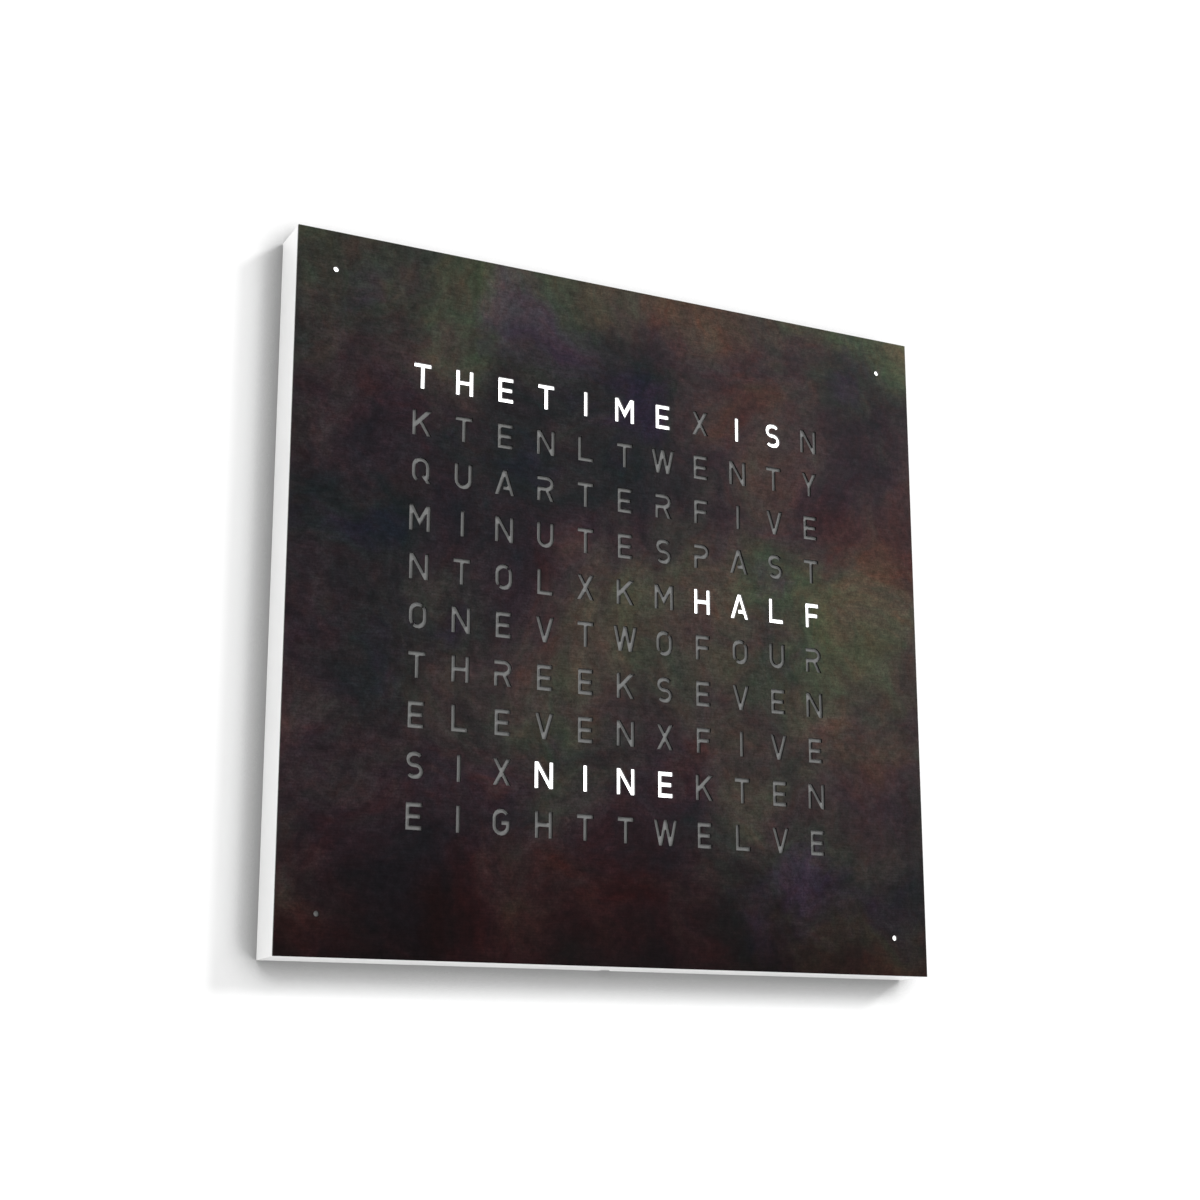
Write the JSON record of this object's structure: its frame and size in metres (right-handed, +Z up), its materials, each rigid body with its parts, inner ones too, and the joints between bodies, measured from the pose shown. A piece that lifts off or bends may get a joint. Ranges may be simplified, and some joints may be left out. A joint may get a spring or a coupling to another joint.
{
  "type": "word clock",
  "caption": "Square wall clock whose stencilled metal front cover shows the time as lit words, on a slim white case with setting keys.",
  "frame": {"origin": "centre of the back face, on the wall plane", "axes": "+Z up, +X to the right seen from the front, the front faces -Y"},
  "size_m": [0.45, 0.0325, 0.45],
  "materials": {
    "patinated_steel": "dark mottled patina, satin",
    "white_lacquer": "satin white lacquer on fibreboard",
    "opal_sheet": "opal, matte",
    "grey_moulding": "fine moulded",
    "white_board": "white solder mask",
    "green_board": "green solder mask",
    "light_package": "cast resin",
    "zinc_steel": "zinc plated",
    "bare_steel": "rolled",
    "nickel": "nickel plated",
    "white_powder_coat": "fine powder coat",
    "black_moulding": "fine moulded",
    "chip_resin": "moulded epoxy",
    "aluminium_can": "drawn",
    "grey_ribbon": "ribbed insulation",
    "red_black_wire": "insulation",
    "white_key": "polished",
    "brass": "turned"
  },
  "bodies": {
    "case": {"back_cover": "white_powder_coat", "back_cover_screws": "zinc_steel", "board_posts": "black_moulding", "capacitors": "aluminium_can", "coin_cell": "nickel", "coin_cell_holder": "black_moulding", "control_board": "green_board", "control_posts": "black_moulding", "cover_magnets": "nickel", "crystal": "nickel", "dc_jack": "black_moulding", "dc_jack_nut": "nickel", "diffuser_sheet": "opal_sheet", "dot_leds": "light_package", "dot_wells": "grey_moulding", "driver_chips": "chip_resin", "hanger_pans": "bare_steel", "inlet_tray": "black_moulding", "jack_wires": "red_black_wire", "key_board": "green_board", "key_board_posts": "brass", "key_board_screws": "zinc_steel", "key_lead": "grey_ribbon", "key_lead_sockets": "opal_sheet", "led_board": "white_board", "letter_leds": "light_package", "light_baffle": "grey_moulding", "post_screws": "zinc_steel", "power_socket": "opal_sheet", "processor": "chip_resin", "rail_bottom": "white_lacquer", "rail_left": "white_lacquer", "rail_right": "white_lacquer", "rail_top": "white_lacquer", "ribbon_cable": "grey_ribbon", "ribbon_headers": "black_moulding", "stud_bushes": "black_moulding", "switch_bodies": "black_moulding"},
    "cover": {"front_cover": "patinated_steel", "cover_studs": "bare_steel"},
    "setting_key_1": {"key_cap_1": "white_key", "switch_stem_1": "black_moulding"},
    "setting_key_2": {"key_cap_2": "white_key", "switch_stem_2": "black_moulding"},
    "setting_key_3": {"key_cap_3": "white_key", "switch_stem_3": "black_moulding"},
    "setting_key_4": {"key_cap_4": "white_key", "switch_stem_4": "black_moulding"}
  },
  "joints": [
    {"name": "cover_pull", "type": "slide", "parent": "case", "child": "cover", "axis": [0, -1, 0], "range_m": [0, 0.03]},
    {"name": "setting_key_1_press", "type": "slide", "parent": "case", "child": "setting_key_1", "axis": [-1, 0, 0], "range_m": [0, 0.0008], "stiffness_N_per_m": 1500},
    {"name": "setting_key_2_press", "type": "slide", "parent": "case", "child": "setting_key_2", "axis": [-1, 0, 0], "range_m": [0, 0.0008], "stiffness_N_per_m": 1500},
    {"name": "setting_key_3_press", "type": "slide", "parent": "case", "child": "setting_key_3", "axis": [-1, 0, 0], "range_m": [0, 0.0008], "stiffness_N_per_m": 1500},
    {"name": "setting_key_4_press", "type": "slide", "parent": "case", "child": "setting_key_4", "axis": [-1, 0, 0], "range_m": [0, 0.0008], "stiffness_N_per_m": 1500}
  ]
}
